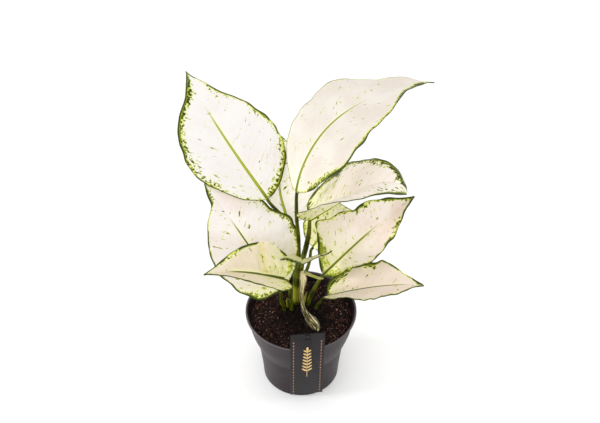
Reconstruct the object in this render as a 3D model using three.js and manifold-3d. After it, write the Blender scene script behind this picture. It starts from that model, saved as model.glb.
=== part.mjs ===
// A potted Chinese evergreen (Aglaonema) in a round nursery pot with a hanging label.
// Millimetres, +Z up. The origin is on the pot's axis at the plane it stands on, and -Y is the front.
import * as THREE from 'three';
import { mergeVertices } from 'three/addons/utils/BufferGeometryUtils.js';
import Module from 'manifold-3d';

const wasm = await Module();
wasm.setup();

const rad = THREE.MathUtils.degToRad;
const vec = (x, y, z) => new THREE.Vector3(x, y, z);
const plant = new THREE.Group();

// Colours read off the photograph
const CREAM = 0xf2e8dc;
const STEM_GREEN = 0x6f7f35;
const SHOOT_GREEN = 0xa9b06a;
const POT_BLACK = 0x2b292d;
const PEAT_BROWN = 0x33221a;
const LABEL_GREY = 0x39353c;

function add(name, geometry, colour, roughness) {
  const material = new THREE.MeshStandardMaterial({ color: colour, roughness, metalness: 0 });
  const mesh = new THREE.Mesh(geometry, material);
  mesh.name = name;
  plant.add(mesh);
}

// Solid helpers
function toSolid(geometry) {
  const bare = geometry.index ? geometry.toNonIndexed() : geometry.clone();
  bare.deleteAttribute('normal');
  bare.deleteAttribute('uv');
  const merged = mergeVertices(bare, 1e-4);
  return new wasm.Manifold(new wasm.Mesh({
    numProp: 3,
    vertProperties: new Float32Array(merged.attributes.position.array),
    triVerts: new Uint32Array(merged.index.array),
  }));
}

function toGeometry(solid) {
  const mesh = solid.getMesh();
  const geometry = new THREE.BufferGeometry();
  geometry.setAttribute('position', new THREE.BufferAttribute(new Float32Array(mesh.vertProperties), 3));
  geometry.setIndex(new THREE.BufferAttribute(new Uint32Array(mesh.triVerts), 1));
  return geometry;
}

function closedGeometry(points, triangles) {
  const geometry = new THREE.BufferGeometry();
  const flat = points.flatMap((p) => [p.x, p.y, p.z]);
  geometry.setAttribute('position', new THREE.Float32BufferAttribute(flat, 3));
  geometry.setIndex(triangles);
  return geometry;
}

// A thin slab between a grid of upper points and the matching grid of lower points.
// Both faces are split along the same diagonals, so a waved slab never crosses itself.
function slab(upper, lower) {
  const rows = upper.length;
  const cols = upper[0].length;
  const points = [...upper.flat(), ...lower.flat()];
  const top = (i, j) => i * cols + j;
  const low = (i, j) => rows * cols + i * cols + j;
  const tri = [];
  const wall = (a, b, c, d) => tri.push(a, c, b, b, c, d);
  for (let i = 0; i < rows - 1; i++) {
    for (let j = 0; j < cols - 1; j++) {
      const flip = j < (cols - 1) / 2;
      const [a, b, c, d] = [top(i, j), top(i, j + 1), top(i + 1, j), top(i + 1, j + 1)];
      const [e, f, g, h] = [low(i, j), low(i, j + 1), low(i + 1, j), low(i + 1, j + 1)];
      if (flip) tri.push(a, c, b, b, c, d, e, f, g, f, h, g);
      else tri.push(a, c, d, a, d, b, e, h, g, e, f, h);
    }
    wall(low(i, 0), top(i, 0), low(i + 1, 0), top(i + 1, 0));
    wall(top(i, cols - 1), low(i, cols - 1), top(i + 1, cols - 1), low(i + 1, cols - 1));
  }
  for (let j = 0; j < cols - 1; j++) {
    wall(top(0, j), low(0, j), top(0, j + 1), low(0, j + 1));
    wall(low(rows - 1, j), top(rows - 1, j), low(rows - 1, j + 1), top(rows - 1, j + 1));
  }
  return closedGeometry(points, tri);
}

// A round stalk through hand-placed points [x, y, z, radius], closed by a flat face at each end
function stalk(route, sides = 8, steps = 10) {
  const curve = new THREE.CatmullRomCurve3(route.map((p) => vec(p[0], p[1], p[2])), false, 'centripetal');
  const points = [];
  const last = route.length - 1;
  let across = vec(1, 0, 0);
  for (let i = 0; i <= steps; i++) {
    const t = i / steps;
    const centre = curve.getPoint(t);
    const along = curve.getTangent(t);
    across = across.clone().addScaledVector(along, -across.dot(along)).normalize();
    const other = along.clone().cross(across);
    const k = Math.min(Math.floor(t * last), last - 1);
    const radius = THREE.MathUtils.lerp(route[k][3], route[k + 1][3], t * last - k);
    for (let s = 0; s < sides; s++) {
      const a = (s / sides) * 2 * Math.PI;
      points.push(centre.clone()
        .addScaledVector(across, radius * Math.cos(a))
        .addScaledVector(other, radius * Math.sin(a)));
    }
  }
  const tri = [];
  for (let i = 0; i < steps; i++) {
    for (let s = 0; s < sides; s++) {
      const [a, b] = [i * sides + s, i * sides + (s + 1) % sides];
      tri.push(a, b, a + sides, b, b + sides, a + sides);
    }
  }
  const end = steps * sides;
  for (let s = 1; s < sides - 1; s++) tri.push(0, s + 1, s, end, end + s, end + s + 1);
  return closedGeometry(points, tri);
}

// Leaf blades. Each starts at its petiole, and its midrib bends evenly or late along its length.
// Millimetres and degrees: yaw turns from +X toward +Y, pitch is up, droop bends the midrib down,
// sweep bends it sideways, twist turns the blade about it, fold lifts each half like an open book,
// curl bends each half further toward its margin, flat takes the fold out toward the tip, lobe draws
// the base back, and ripple waves the margin. Pairs give the left half first, seen from the base.
const BLADES = {
  leaf_upper_left: {
    at: [-34, 33, 220], length: 172, halves: [55, 55], yaw: 127, pitch: 22, roll: 2,
    droop: -10, sweep: -3, twist: -12, fold: [6, 6], curl: [-1, -2], flat: 0,
    peak: 0.4, tip: 1.42, late: 0.9, lobe: 0.06, ripple: 1.5, waves: 3, phase: [0, 2],
  },
  leaf_upper_right: {
    at: [-5, 15, 243], length: 191, halves: [61, 61], yaw: 30, pitch: 83, roll: 3,
    droop: 95, sweep: -4, twist: -30, fold: [1, 5], curl: [-6, -2], flat: 0,
    peak: 0.45, tip: 1.4, late: 0, lobe: 0.07, ripple: 2.5, waves: 3.5, phase: [1.5, 3.6],
  },
  leaf_mid_left: {
    at: [-23, -14, 137], length: 132, halves: [44, 49], yaw: 148, pitch: 52, roll: -25,
    droop: 18, sweep: 0, twist: -4, fold: [7, 15], curl: [5, -13], flat: 0.3,
    peak: 0.38, tip: 1.34, late: 0.9, lobe: 0.08, ripple: 1.5, waves: 3, phase: [1, 0],
  },
  leaf_low_left: {
    at: [-17, -26, 164], length: 90, halves: [33, 33], yaw: 204, pitch: 34, roll: -24,
    droop: 32, sweep: 6, twist: 6, fold: [36, 36], curl: [-1, 3], flat: -0.2,
    peak: 0.35, tip: 1.4, late: 1.1, lobe: 0.06, ripple: 1, waves: 3, phase: [0, 1],
  },
  leaf_right_upper: {
    at: [10, 18, 207], length: 120, halves: [52, 52], yaw: -7, pitch: 42, roll: 7,
    droop: 131, sweep: -26, twist: 10, fold: [4, 55], curl: [-18, -7], flat: 0.8,
    peak: 0.3, tip: 0.9, late: 4, lobe: 0.14, ripple: 1.5, waves: 3, phase: [0, 0],
  },
  leaf_right_mid: {
    at: [24, 13, 133], length: 131, halves: [41, 40], yaw: 7, pitch: 51, roll: 35,
    droop: 24, sweep: -6, twist: 16, fold: [33, 38], curl: [10, 10], flat: 0,
    peak: 0.43, tip: 1.3, late: 1.3, lobe: 0.02, ripple: 3, waves: 3, phase: [2.4, 0.5],
  },
  leaf_right_low: {
    at: [28, -9, 124], length: 102, halves: [37, 37], yaw: -2, pitch: 19, roll: -23,
    droop: 12, sweep: -14, twist: 33, fold: [14, 15], curl: [8, 8], flat: 0,
    peak: 0.3, tip: 1.2, late: 0.9, lobe: 0.06, ripple: 2, waves: 3, phase: [1.5, 3],
  },
  leaf_back_left: {
    at: [-12, 50, 175], length: 94, halves: [22, 32], yaw: 96, pitch: 62, roll: 0,
    droop: 35, sweep: 4, twist: 0, fold: [12, 12], curl: [4, 4], flat: 0,
    peak: 0.36, tip: 1.3, late: 0.8, lobe: 0.05, ripple: 1.5, waves: 3, phase: [0, 2],
  },
  leaf_back_right: {
    at: [13, 50, 140], length: 80, halves: [26, 26], yaw: 35, pitch: 40, roll: 0,
    droop: 50, sweep: -10, twist: 0, fold: [14, 14], curl: [5, 5], flat: 0,
    peak: 0.34, tip: 1.3, late: 0.8, lobe: 0.05, ripple: 1.5, waves: 3, phase: [1, 2],
  },
  leaf_young: {
    at: [3, 6, 158.5], length: 72, halves: [29, 21], yaw: -90, pitch: 46, roll: 2,
    droop: 6, sweep: 0, twist: 0, fold: [13, 45], curl: [18, -75], flat: 0,
    peak: 0.4, tip: 1.3, late: 0.8, lobe: 0.04, ripple: 0.6, waves: 3, phase: [0, 2],
  },
};

const STEPS = 80;
const STATIONS = [0, 1, 3, 6, 10, 15, 20, 25, 30, 36, 42, 48, 54, 60, 65, 70, 74, 77, 79, 80];
const ACROSS = [-1, -0.74, -0.46, -0.18, 0, 0.18, 0.46, 0.74, 1];
const BASE_WIDTH = 1.6;
const TIP_WIDTH = 0.4;
const EDGE_THICK = 0.75;
const BODY_THICK = 1.15;
const RIB_THICK = 1.3;

function turn(vectors, axis, angle) {
  for (const v of vectors) v.applyAxisAngle(axis, angle);
}

function midrib(leaf) {
  const [yaw, pitch, roll] = [rad(leaf.yaw), rad(leaf.pitch), rad(leaf.roll)];
  const along = vec(Math.cos(pitch) * Math.cos(yaw), Math.cos(pitch) * Math.sin(yaw), Math.sin(pitch));
  const side = vec(-Math.sin(yaw), Math.cos(yaw), 0);
  const up = along.clone().cross(side);
  turn([side, up], along, roll);
  const point = vec(...leaf.at);
  const frames = [{ point: point.clone(), along: along.clone(), side: side.clone(), up: up.clone() }];
  for (let i = 0; i < STEPS; i++) {
    const u = (i + 0.5) / STEPS;
    const share = ((1 + leaf.late) * u ** leaf.late) / STEPS;
    turn([along, up], side.clone(), rad(leaf.droop) * share);
    turn([along, side], up.clone(), rad(leaf.sweep) * share);
    turn([side, up], along.clone(), rad(leaf.twist) / STEPS);
    point.addScaledVector(along, leaf.length / STEPS);
    frames.push({ point: point.clone(), along: along.clone(), side: side.clone(), up: up.clone() });
  }
  return frames;
}

function outline(leaf, u) {
  const rise = (leaf.tip * leaf.peak) / (1 - leaf.peak);
  return (Math.max(u, 1e-6) / leaf.peak) ** rise * ((1 - u) / (1 - leaf.peak)) ** leaf.tip;
}

function bladePoint(leaf, frame, u, v) {
  const which = v >= 0 ? 0 : 1;
  const sign = v >= 0 ? 1 : -1;
  const a = Math.abs(v);
  const share = outline(leaf, u);
  const width = leaf.halves[which] * share + BASE_WIDTH * (1 - u) ** 10 + TIP_WIDTH * u ** 10;
  const fold = rad(leaf.fold[which]) * (1 - leaf.flat * u * u);
  const curl = rad(leaf.curl[which]);
  const out = (Math.sin(fold + curl * a) - Math.sin(fold)) / curl;
  const lift = (Math.cos(fold) - Math.cos(fold + curl * a)) / curl;
  const back = leaf.lobe * leaf.length * a * a * Math.min(1, share * 1.6) * (1 - u) ** 8;
  const swell = Math.sqrt(Math.max(0, 4 * u * (1 - u)));
  const wave = leaf.ripple * a * a * Math.sin(2 * Math.PI * leaf.waves * u + leaf.phase[which]) * swell;
  return frame.point.clone()
    .addScaledVector(frame.side, sign * width * out)
    .addScaledVector(frame.up, width * lift + wave)
    .addScaledVector(frame.along, -back);
}

function gridNormal(grid, i, j) {
  const i0 = Math.max(i - 1, 0);
  const i1 = Math.min(i + 1, grid.length - 1);
  const j0 = Math.max(j - 1, 0);
  const j1 = Math.min(j + 1, grid[0].length - 1);
  const alongGrid = grid[i1][j].clone().sub(grid[i0][j]);
  const acrossGrid = grid[i][j1].clone().sub(grid[i][j0]);
  return alongGrid.cross(acrossGrid).normalize();
}

function blade(leaf) {
  const frames = midrib(leaf);
  const upper = STATIONS.map((k) => ACROSS.map((v) => bladePoint(leaf, frames[k], k / STEPS, v)));
  const lower = upper.map((row, i) => row.map((p, j) => {
    const u = STATIONS[i] / STEPS;
    const a = Math.abs(ACROSS[j]);
    const rib = ACROSS[j] === 0 ? RIB_THICK * (1 - u) : 0;
    const thick = BODY_THICK + (EDGE_THICK - BODY_THICK) * a + rib;
    return p.clone().addScaledVector(gridNormal(upper, i, j), -thick);
  }));
  return slab(upper, lower);
}

for (const [name, leaf] of Object.entries(BLADES)) add(name, blade(leaf), CREAM, 0.45);

// The narrow old leaf that hangs from the crown: points [x, y, z, half width] down its midrib
const HANGING = [
  [-0.3, 10.85, 139.7, 3], [1.2, 8.5, 132, 3.9], [2, 5, 120, 2.8], [2.2, 2, 107, 2], [4, -3, 97, 2.2],
  [8.5, -10, 93.5, 5.5], [13.5, -17, 92.5, 7.3], [18, -23.5, 92, 5], [20.5, -27, 91.5, 0.8],
];
const HANGING_ROWS = 16;
const HANGING_TURN = 30;

function hangingLeaf() {
  const curve = new THREE.CatmullRomCurve3(HANGING.map((p) => vec(p[0], p[1], p[2])), false, 'centripetal');
  const last = HANGING.length - 1;
  const upper = [];
  const lower = [];
  for (let i = 0; i <= HANGING_ROWS; i++) {
    const t = i / HANGING_ROWS;
    const centre = curve.getPoint(t);
    const along = curve.getTangent(t);
    const side = vec(0, 0, 1).cross(along).normalize();
    if (t * last < 4) side.set(1, 0, 0);
    else side.lerp(vec(1, 0, 0), Math.max(0, 5 - t * last)).normalize();
    side.addScaledVector(along, -side.dot(along)).normalize();
    const up = along.clone().cross(side).normalize();
    turn([side, up], along, rad(HANGING_TURN) * THREE.MathUtils.smoothstep(t, 0.55, 0.9));
    const k = Math.min(Math.floor(t * last), last - 1);
    const half = THREE.MathUtils.lerp(HANGING[k][3], HANGING[k + 1][3], t * last - k);
    const row = [-1, -0.5, 0, 0.5, 1].map((v) => centre.clone()
      .addScaledVector(side, v * half)
      .addScaledVector(up, 0.25 * half * v * v));
    upper.push(row);
    lower.push(row.map((p) => p.clone().addScaledVector(up, -0.9)));
  }
  return slab(upper, lower);
}

add('leaf_drooping', hangingLeaf(), CREAM, 0.5);

// Stalks
const SEAT_GAP = 0.4;

// The last two points of a petiole's route, which meet the base of its blade end to end
function seat(name, radius, runIn) {
  const { point, along, up } = midrib(BLADES[name])[0];
  const centre = point.clone().addScaledVector(up, -0.5 * (BODY_THICK + RIB_THICK));
  const end = centre.clone().addScaledVector(along, -SEAT_GAP);
  const before = end.clone().addScaledVector(along, -runIn);
  return [[before.x, before.y, before.z, radius], [end.x, end.y, end.z, radius]];
}

const CANE = [
  [-4.5, 18, 62, 4.4], [-4.5, 18, 84, 4.4], [-4.5, 18, 92, 4.6], [-4.4, 18, 112, 4.6],
  [-3.4, 17.5, 130, 5.2], [-1.6, 16.5, 143, 5], [-0.8, 16, 151, 3.4],
];
const BRANCHES = [
  [[-2, 18.5, 136, 2], [-3.6, 25, 152, 2], [-7.6, 34, 169, 1.9], [-12.6, 40.5, 185, 1.9],
    [-22.2, 41, 199, 1.8], ...seat('leaf_upper_left', 1.7, 4)],
  [[-1.6, 17.5, 140, 2.2], [-2.2, 21, 159, 2.1], [-2.7, 24, 177, 2.1], [-4.2, 21, 200, 2],
    [-4.7, 16, 224, 1.9], ...seat('leaf_upper_right', 1.7, 5)],
  [[-0.6, 16.5, 141, 3], [1, 16, 150, 2.8], [4, 16, 166, 2.5], [7.4, 17, 188, 2.1],
    ...seat('leaf_right_upper', 1.6, 2)],
  [[-3.8, 19, 116, 1.8], [1, 22, 120, 1.7], [6.5, 28, 126, 1.6], [9.8, 38, 131, 1.5],
    ...seat('leaf_back_right', 1.4, 4)],
  [[-3.2, 19, 126, 1.8], [-5, 24, 143, 1.6], [-8, 37, 159, 1.5], ...seat('leaf_back_left', 1.4, 4)],
  [[-1.5, 15, 138, 1.8], [1.5, 11.8, 145, 1.6], ...seat('leaf_young', 1.3, 3)],
];

function mainStem() {
  let whole = toSolid(stalk(CANE, 10, 16));
  for (const route of BRANCHES) whole = whole.add(toSolid(stalk(route, 8, 12)));
  return toGeometry(whole);
}

add('stem_main', mainStem(), STEM_GREEN, 0.5);

// Petioles and shoots that rise from the soil by themselves
const PETIOLES = {
  petiole_mid_left: [[-18.5, 6, 64, 2.2], [-18.5, 6, 85, 2.2], [-18.7, 5.2, 93, 2.2], [-20.8, -3, 108, 2],
    ...seat('leaf_mid_left', 1.8, 4)],
  petiole_low_left: [[-10.5, 7.5, 64, 2.2], [-10.5, 7.5, 85, 2.2], [-10.7, 6.7, 94, 2.1], [-11.7, -1, 122, 1.8],
    [-13, -14, 146, 1.6], ...seat('leaf_low_left', 1.5, 4)],
  petiole_right_mid: [[8, 15, 64, 2.6], [8, 15, 85, 2.6], [8.6, 15, 93, 2.6], [13, 14.2, 107, 2.4],
    ...seat('leaf_right_mid', 1.8, 5)],
  petiole_right_low: [[16.5, 8, 64, 1.7], [16.5, 8, 85, 1.7], [17.1, 6.4, 92, 1.7], [20.4, -1.5, 106, 1.5],
    ...seat('leaf_right_low', 1.2, 4)],
  shoot_left: [[-14.6, 11.5, 68, 1.5], [-14.6, 11.5, 84, 1.5], [-14.7, 11.2, 90, 1.4], [-15, 10, 96, 1.1],
    [-15.2, 9, 102, 0.4]],
  shoot_right: [[2.5, 12.5, 66, 1.7], [2.5, 12.5, 84, 1.7], [2.8, 12.2, 90, 1.6], [4.4, 11, 100, 1.3],
    [6.2, 9.5, 110, 0.5]],
};

for (const [name, route] of Object.entries(PETIOLES)) {
  add(name, stalk(route, 8, 12), name.startsWith('shoot') ? SHOOT_GREEN : STEM_GREEN, 0.5);
}

// Pot: outer wall [radius, height] up from the stand ring, and an inner wall one thickness inside it
const POT_SIDES = 48;
const WALL = 1.4;
const POT_WALL = [[43.4, 12], [44.6, 30], [46.4, 42], [50, 56], [53, 70], [56.3, 82], [58.6, 92]];
const POT_HEIGHT = 95;
const RIM_RADIUS = 60;
const FLOOR_TOP = 4;
const CENTRE_PAD = 14;
const DRAINS = { count: 6, radius: 4, circle: 24 };

function pot() {
  const inner = POT_WALL.map(([r, z]) => [r - WALL, z]).reverse();
  const profile = [
    [0, 0], [CENTRE_PAD, 0], [CENTRE_PAD, 2.5], [34, 2.5], [34, 0], [41.4, 0], [42.4, 1.2],
    ...POT_WALL,
    [RIM_RADIUS, 92.7], [RIM_RADIUS, 94.4], [59.5, POT_HEIGHT], [58.3, POT_HEIGHT],
    ...inner,
    [41, FLOOR_TOP], [0, FLOOR_TOP],
  ];
  const points = profile.map(([r, z]) => new THREE.Vector2(r, z));
  const lathe = new THREE.LatheGeometry(points, POT_SIDES);
  lathe.rotateX(Math.PI / 2);
  let solid = toSolid(lathe);
  for (let i = 0; i < DRAINS.count; i++) {
    const angle = ((i + 0.5) / DRAINS.count) * 2 * Math.PI;
    const drill = new THREE.CylinderGeometry(DRAINS.radius, DRAINS.radius, 10, 16);
    drill.rotateX(Math.PI / 2);
    drill.translate(DRAINS.circle * Math.cos(angle), DRAINS.circle * Math.sin(angle), 3);
    solid = solid.subtract(toSolid(drill));
  }
  return toGeometry(solid);
}

add('pot', pot(), POT_BLACK, 0.55);

// Label: a card that leans on the outside of the rim, with a strip over its top down into the soil
const LABEL = {
  turn: 6, width: 35, thick: 0.8, top: 125, bottom: 20, front: -61.4, lean: 5,
  strip: 5, slotTop: 122.5, slotBottom: 116, slotPlay: 0.3, soilPlay: 0.45,
};
const CUT_DEPTH = 6;
// The strip seen from the side, as [y, z]: over the card's top, then down inside the rim into the soil
const HOOK_OUTSIDE = [[-64.2, 123.4], [-63.8, 125.6], [-62, 127.4], [-59.6, 127.4], [-57.9, 126.4]];
const STRIP_DOWN = [[-57.2, 124.5], [-56, 97], [-54.4, 88], [-47.2, 62]];
const HOOK_INSIDE = [[-58, 124.2], [-59.2, 126], [-60.4, 126.6], [-61.8, 126.4], [-63, 125], [-63.3, 123.4]];

function labelCard() {
  const high = LABEL.top - LABEL.bottom;
  const card = new THREE.BoxGeometry(LABEL.width, LABEL.thick, high, 1, 1, 1);
  card.translate(0, 0, LABEL.bottom + high / 2 - POT_HEIGHT);
  card.rotateX(rad(LABEL.lean));
  card.translate(0, LABEL.front, POT_HEIGHT);
  let solid = toSolid(card);
  const slotHigh = LABEL.slotTop - LABEL.slotBottom;
  const slotWide = LABEL.strip + 2 * LABEL.slotPlay;
  const leanOut = Math.tan(rad(LABEL.lean)) * (LABEL.slotTop - POT_HEIGHT);
  const slot = new THREE.BoxGeometry(slotWide, CUT_DEPTH, slotHigh);
  slot.translate(0, LABEL.front - leanOut, LABEL.slotBottom + slotHigh / 2);
  solid = solid.subtract(toSolid(slot));
  const stripUp = STRIP_DOWN.slice(1).reverse().map(([y, z]) => [y - LABEL.thick, z]);
  const side = [...HOOK_OUTSIDE, ...STRIP_DOWN, ...stripUp, ...HOOK_INSIDE];
  const shape = new THREE.Shape(side.map(([y, z]) => new THREE.Vector2(y, z)));
  const strip = new THREE.ExtrudeGeometry(shape, { depth: LABEL.strip, bevelEnabled: false });
  strip.translate(0, 0, -LABEL.strip / 2);
  const onEdge = new THREE.Matrix4().makeBasis(vec(0, 1, 0), vec(0, 0, 1), vec(1, 0, 0));
  strip.applyMatrix4(onEdge);
  solid = solid.add(toSolid(strip));
  const geometry = toGeometry(solid);
  geometry.rotateZ(rad(LABEL.turn));
  return geometry;
}

add('plant_label', labelCard(), LABEL_GREY, 0.45);

// Soil: fills the pot to just under the rim, with a lumpy top and plain holes for what stands in it
const SOIL_GAP = 0.3;
const SOIL_RINGS = [4, 10, 17, 24, 31, 38, 44, 49.5, 53];
const SOIL_EDGE = 84.5;
const HOLE_GAP = 0.6;

function lump(x, y) {
  const r = Math.hypot(x, y) / 55;
  const grain = 1.2 * Math.sin(0.31 * x + 1.3) * Math.sin(0.37 * y + 0.4)
    + 0.8 * Math.sin(0.73 * x - 0.52 * y) + 0.4 * Math.sin(1.1 * y + 0.9 * x + 2);
  return 1.6 * (1 - r * r) + grain * (1 - r ** 6);
}

function soil() {
  const inner = POT_WALL.map(([r, z]) => [r - WALL - SOIL_GAP, z]).filter(([, z]) => z < SOIL_EDGE);
  const [below, above] = [POT_WALL[5], POT_WALL[6]];
  const share = (SOIL_EDGE - below[1]) / (above[1] - below[1]);
  const edgeRadius = below[0] + share * (above[0] - below[0]) - WALL - SOIL_GAP;
  const walls = [[40.6, FLOOR_TOP + SOIL_GAP], ...inner, [edgeRadius, SOIL_EDGE]];
  const points = [vec(0, 0, FLOOR_TOP + SOIL_GAP)];
  const rings = [...walls.map(([r, z]) => [r, () => z])];
  for (const r of SOIL_RINGS.slice().reverse()) rings.push([r, (x, y) => SOIL_EDGE + lump(x, y)]);
  for (const [r, height] of rings) {
    for (let s = 0; s < POT_SIDES; s++) {
      const a = (s / POT_SIDES) * 2 * Math.PI;
      const [x, y] = [r * Math.sin(a), -r * Math.cos(a)];
      points.push(vec(x, y, height(x, y)));
    }
  }
  points.push(vec(0, 0, SOIL_EDGE + lump(0, 0)));
  const tri = [];
  const at = (ring, s) => 1 + ring * POT_SIDES + (s % POT_SIDES);
  for (let s = 0; s < POT_SIDES; s++) {
    tri.push(0, at(0, s + 1), at(0, s));
    for (let ring = 0; ring < rings.length - 1; ring++) {
      tri.push(at(ring, s), at(ring, s + 1), at(ring + 1, s));
      tri.push(at(ring, s + 1), at(ring + 1, s + 1), at(ring + 1, s));
    }
    tri.push(at(rings.length - 1, s), at(rings.length - 1, s + 1), points.length - 1);
  }
  let solid = toSolid(closedGeometry(points, tri));
  for (const [x, y, z, radius] of [CANE[0], ...Object.values(PETIOLES).map((route) => route[0])]) {
    const hole = radius + HOLE_GAP;
    const drill = new THREE.CylinderGeometry(hole, hole, 40, 12);
    drill.rotateX(Math.PI / 2);
    drill.translate(x, y, z - SOIL_GAP + 20);
    solid = solid.subtract(toSolid(drill));
  }
  const [bottom, top] = [STRIP_DOWN[3], STRIP_DOWN[2]];
  const slotDepth = Math.hypot(top[0] - bottom[0], top[1] - bottom[1]) + CUT_DEPTH;
  const slope = Math.atan2(-(top[0] - bottom[0]), top[1] - bottom[1]);
  const play = LABEL.soilPlay;
  const slot = new THREE.BoxGeometry(LABEL.strip + 2 * play, LABEL.thick + 2 * play, slotDepth);
  slot.translate(0, -LABEL.thick / 2, slotDepth / 2 - play);
  slot.rotateX(slope);
  slot.translate(0, bottom[0], bottom[1]);
  slot.rotateZ(rad(LABEL.turn));
  solid = solid.subtract(toSolid(slot));
  return toGeometry(solid);
}

add('soil', soil(), PEAT_BROWN, 0.95);

export default plant;
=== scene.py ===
# The looks of a potted Chinese evergreen: cream leaves with green margins in a black nursery pot.
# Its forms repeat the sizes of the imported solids, in millimetres and degrees, and are made in metres.
import random
from math import atan2, cos, exp, hypot, pi, radians, sin, sqrt
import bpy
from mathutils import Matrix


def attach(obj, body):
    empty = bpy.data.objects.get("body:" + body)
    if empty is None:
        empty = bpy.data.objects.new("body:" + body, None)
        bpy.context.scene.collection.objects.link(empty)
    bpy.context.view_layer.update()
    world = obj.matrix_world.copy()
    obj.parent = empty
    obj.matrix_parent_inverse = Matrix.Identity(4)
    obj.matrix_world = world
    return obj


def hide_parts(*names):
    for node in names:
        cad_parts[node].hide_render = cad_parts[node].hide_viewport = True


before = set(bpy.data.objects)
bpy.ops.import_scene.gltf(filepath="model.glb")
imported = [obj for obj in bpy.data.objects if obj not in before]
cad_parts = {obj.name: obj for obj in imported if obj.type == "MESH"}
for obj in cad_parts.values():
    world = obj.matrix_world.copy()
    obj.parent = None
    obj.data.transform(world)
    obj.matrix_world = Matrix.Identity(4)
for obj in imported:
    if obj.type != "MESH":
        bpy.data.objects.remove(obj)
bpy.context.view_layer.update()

from types import SimpleNamespace

import bpy
from mathutils import Matrix, Quaternion, Vector, noise

MM = 0.001

# Camera, light and floor
CAMERA_PLACE = (-0.0011, -0.6252, 0.7424)
CAMERA_DOWN = 39.3
CAMERA_LENS = 49.6
FLOOR_SIZE = 6.0
WORLD_LIGHT = 1.03


def tone(red, green, blue):
    """A colour given as it looks on a screen, 0 to 255, as a linear colour with alpha."""
    linear = [((c / 255 + 0.055) / 1.055) ** 2.4 if c > 10 else c / 255 / 12.92 for c in (red, green, blue)]
    return (*linear, 1.0)


def deselect():
    bpy.ops.object.select_all(action="DESELECT")


def mode(name):
    bpy.ops.object.mode_set(mode=name)


def deselect_points():
    """Clears the selection in the mesh of the object that is selected."""
    mode("EDIT")
    bpy.ops.mesh.select_all(action="DESELECT")
    mode("OBJECT")


def stand(name, data, place, turn):
    made = bpy.data.objects.new(name, data)
    made.location = place
    made.rotation_euler = turn
    bpy.context.scene.collection.objects.link(made)
    return made


def place_camera():
    data = bpy.data.cameras.new("camera")
    data.lens = CAMERA_LENS
    data.clip_start = 0.01
    bpy.context.scene.camera = stand("camera", data, CAMERA_PLACE, (radians(90 - CAMERA_DOWN), 0, 0))


def softbox(name, place, aim, size, power, spread=180):
    data = bpy.data.lights.new(name, "AREA")
    data.shape = "RECTANGLE"
    data.size, data.size_y = size
    data.energy = power
    data.spread = radians(spread)
    stand(name, data, place, (Vector(place) - Vector(aim)).to_track_quat("Z", "Y").to_euler())


def light_studio():
    softbox("key", (-0.25, -1.3, 1.3), (0, 0, 0.15), (1.4, 1.0), 7.5)
    softbox("side", (-0.9, -0.05, 0.16), (0, 0, 0.05), (0.3, 0.3), 0.3, 24)
    softbox("edge", (0.9, 0.15, 0.14), (0, 0, 0.05), (0.2, 0.26), 0.08, 24)
    world = bpy.data.worlds.new("studio")
    world.use_nodes = True
    sky = world.node_tree.nodes["Background"].inputs
    sky["Color"].default_value = (1, 1, 1, 1)
    sky["Strength"].default_value = WORLD_LIGHT
    bpy.context.scene.world = world
    bpy.context.scene.view_settings.view_transform = "Standard"


# Materials
def math_node(operation, reflected=False):
    """An operator of Wire: it adds a Math node that takes the wire and the other value."""
    def method(wire, other=0.0):
        values = [other, wire] if reflected else [wire, other]
        return wire.finish.node("ShaderNodeMath", {"operation": operation}, values)
    return method


class Wire:
    """One output of a node. Sums of wires and numbers add their own Math nodes."""

    def __init__(self, finish, socket):
        self.finish = finish
        self.socket = socket

    __add__, __radd__ = math_node("ADD"), math_node("ADD", True)
    __sub__, __rsub__ = math_node("SUBTRACT"), math_node("SUBTRACT", True)
    __mul__, __rmul__ = math_node("MULTIPLY"), math_node("MULTIPLY", True)
    __truediv__ = math_node("DIVIDE")
    __pow__ = math_node("POWER")
    __mod__ = math_node("FLOORED_MODULO")
    __abs__ = math_node("ABSOLUTE")


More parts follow.
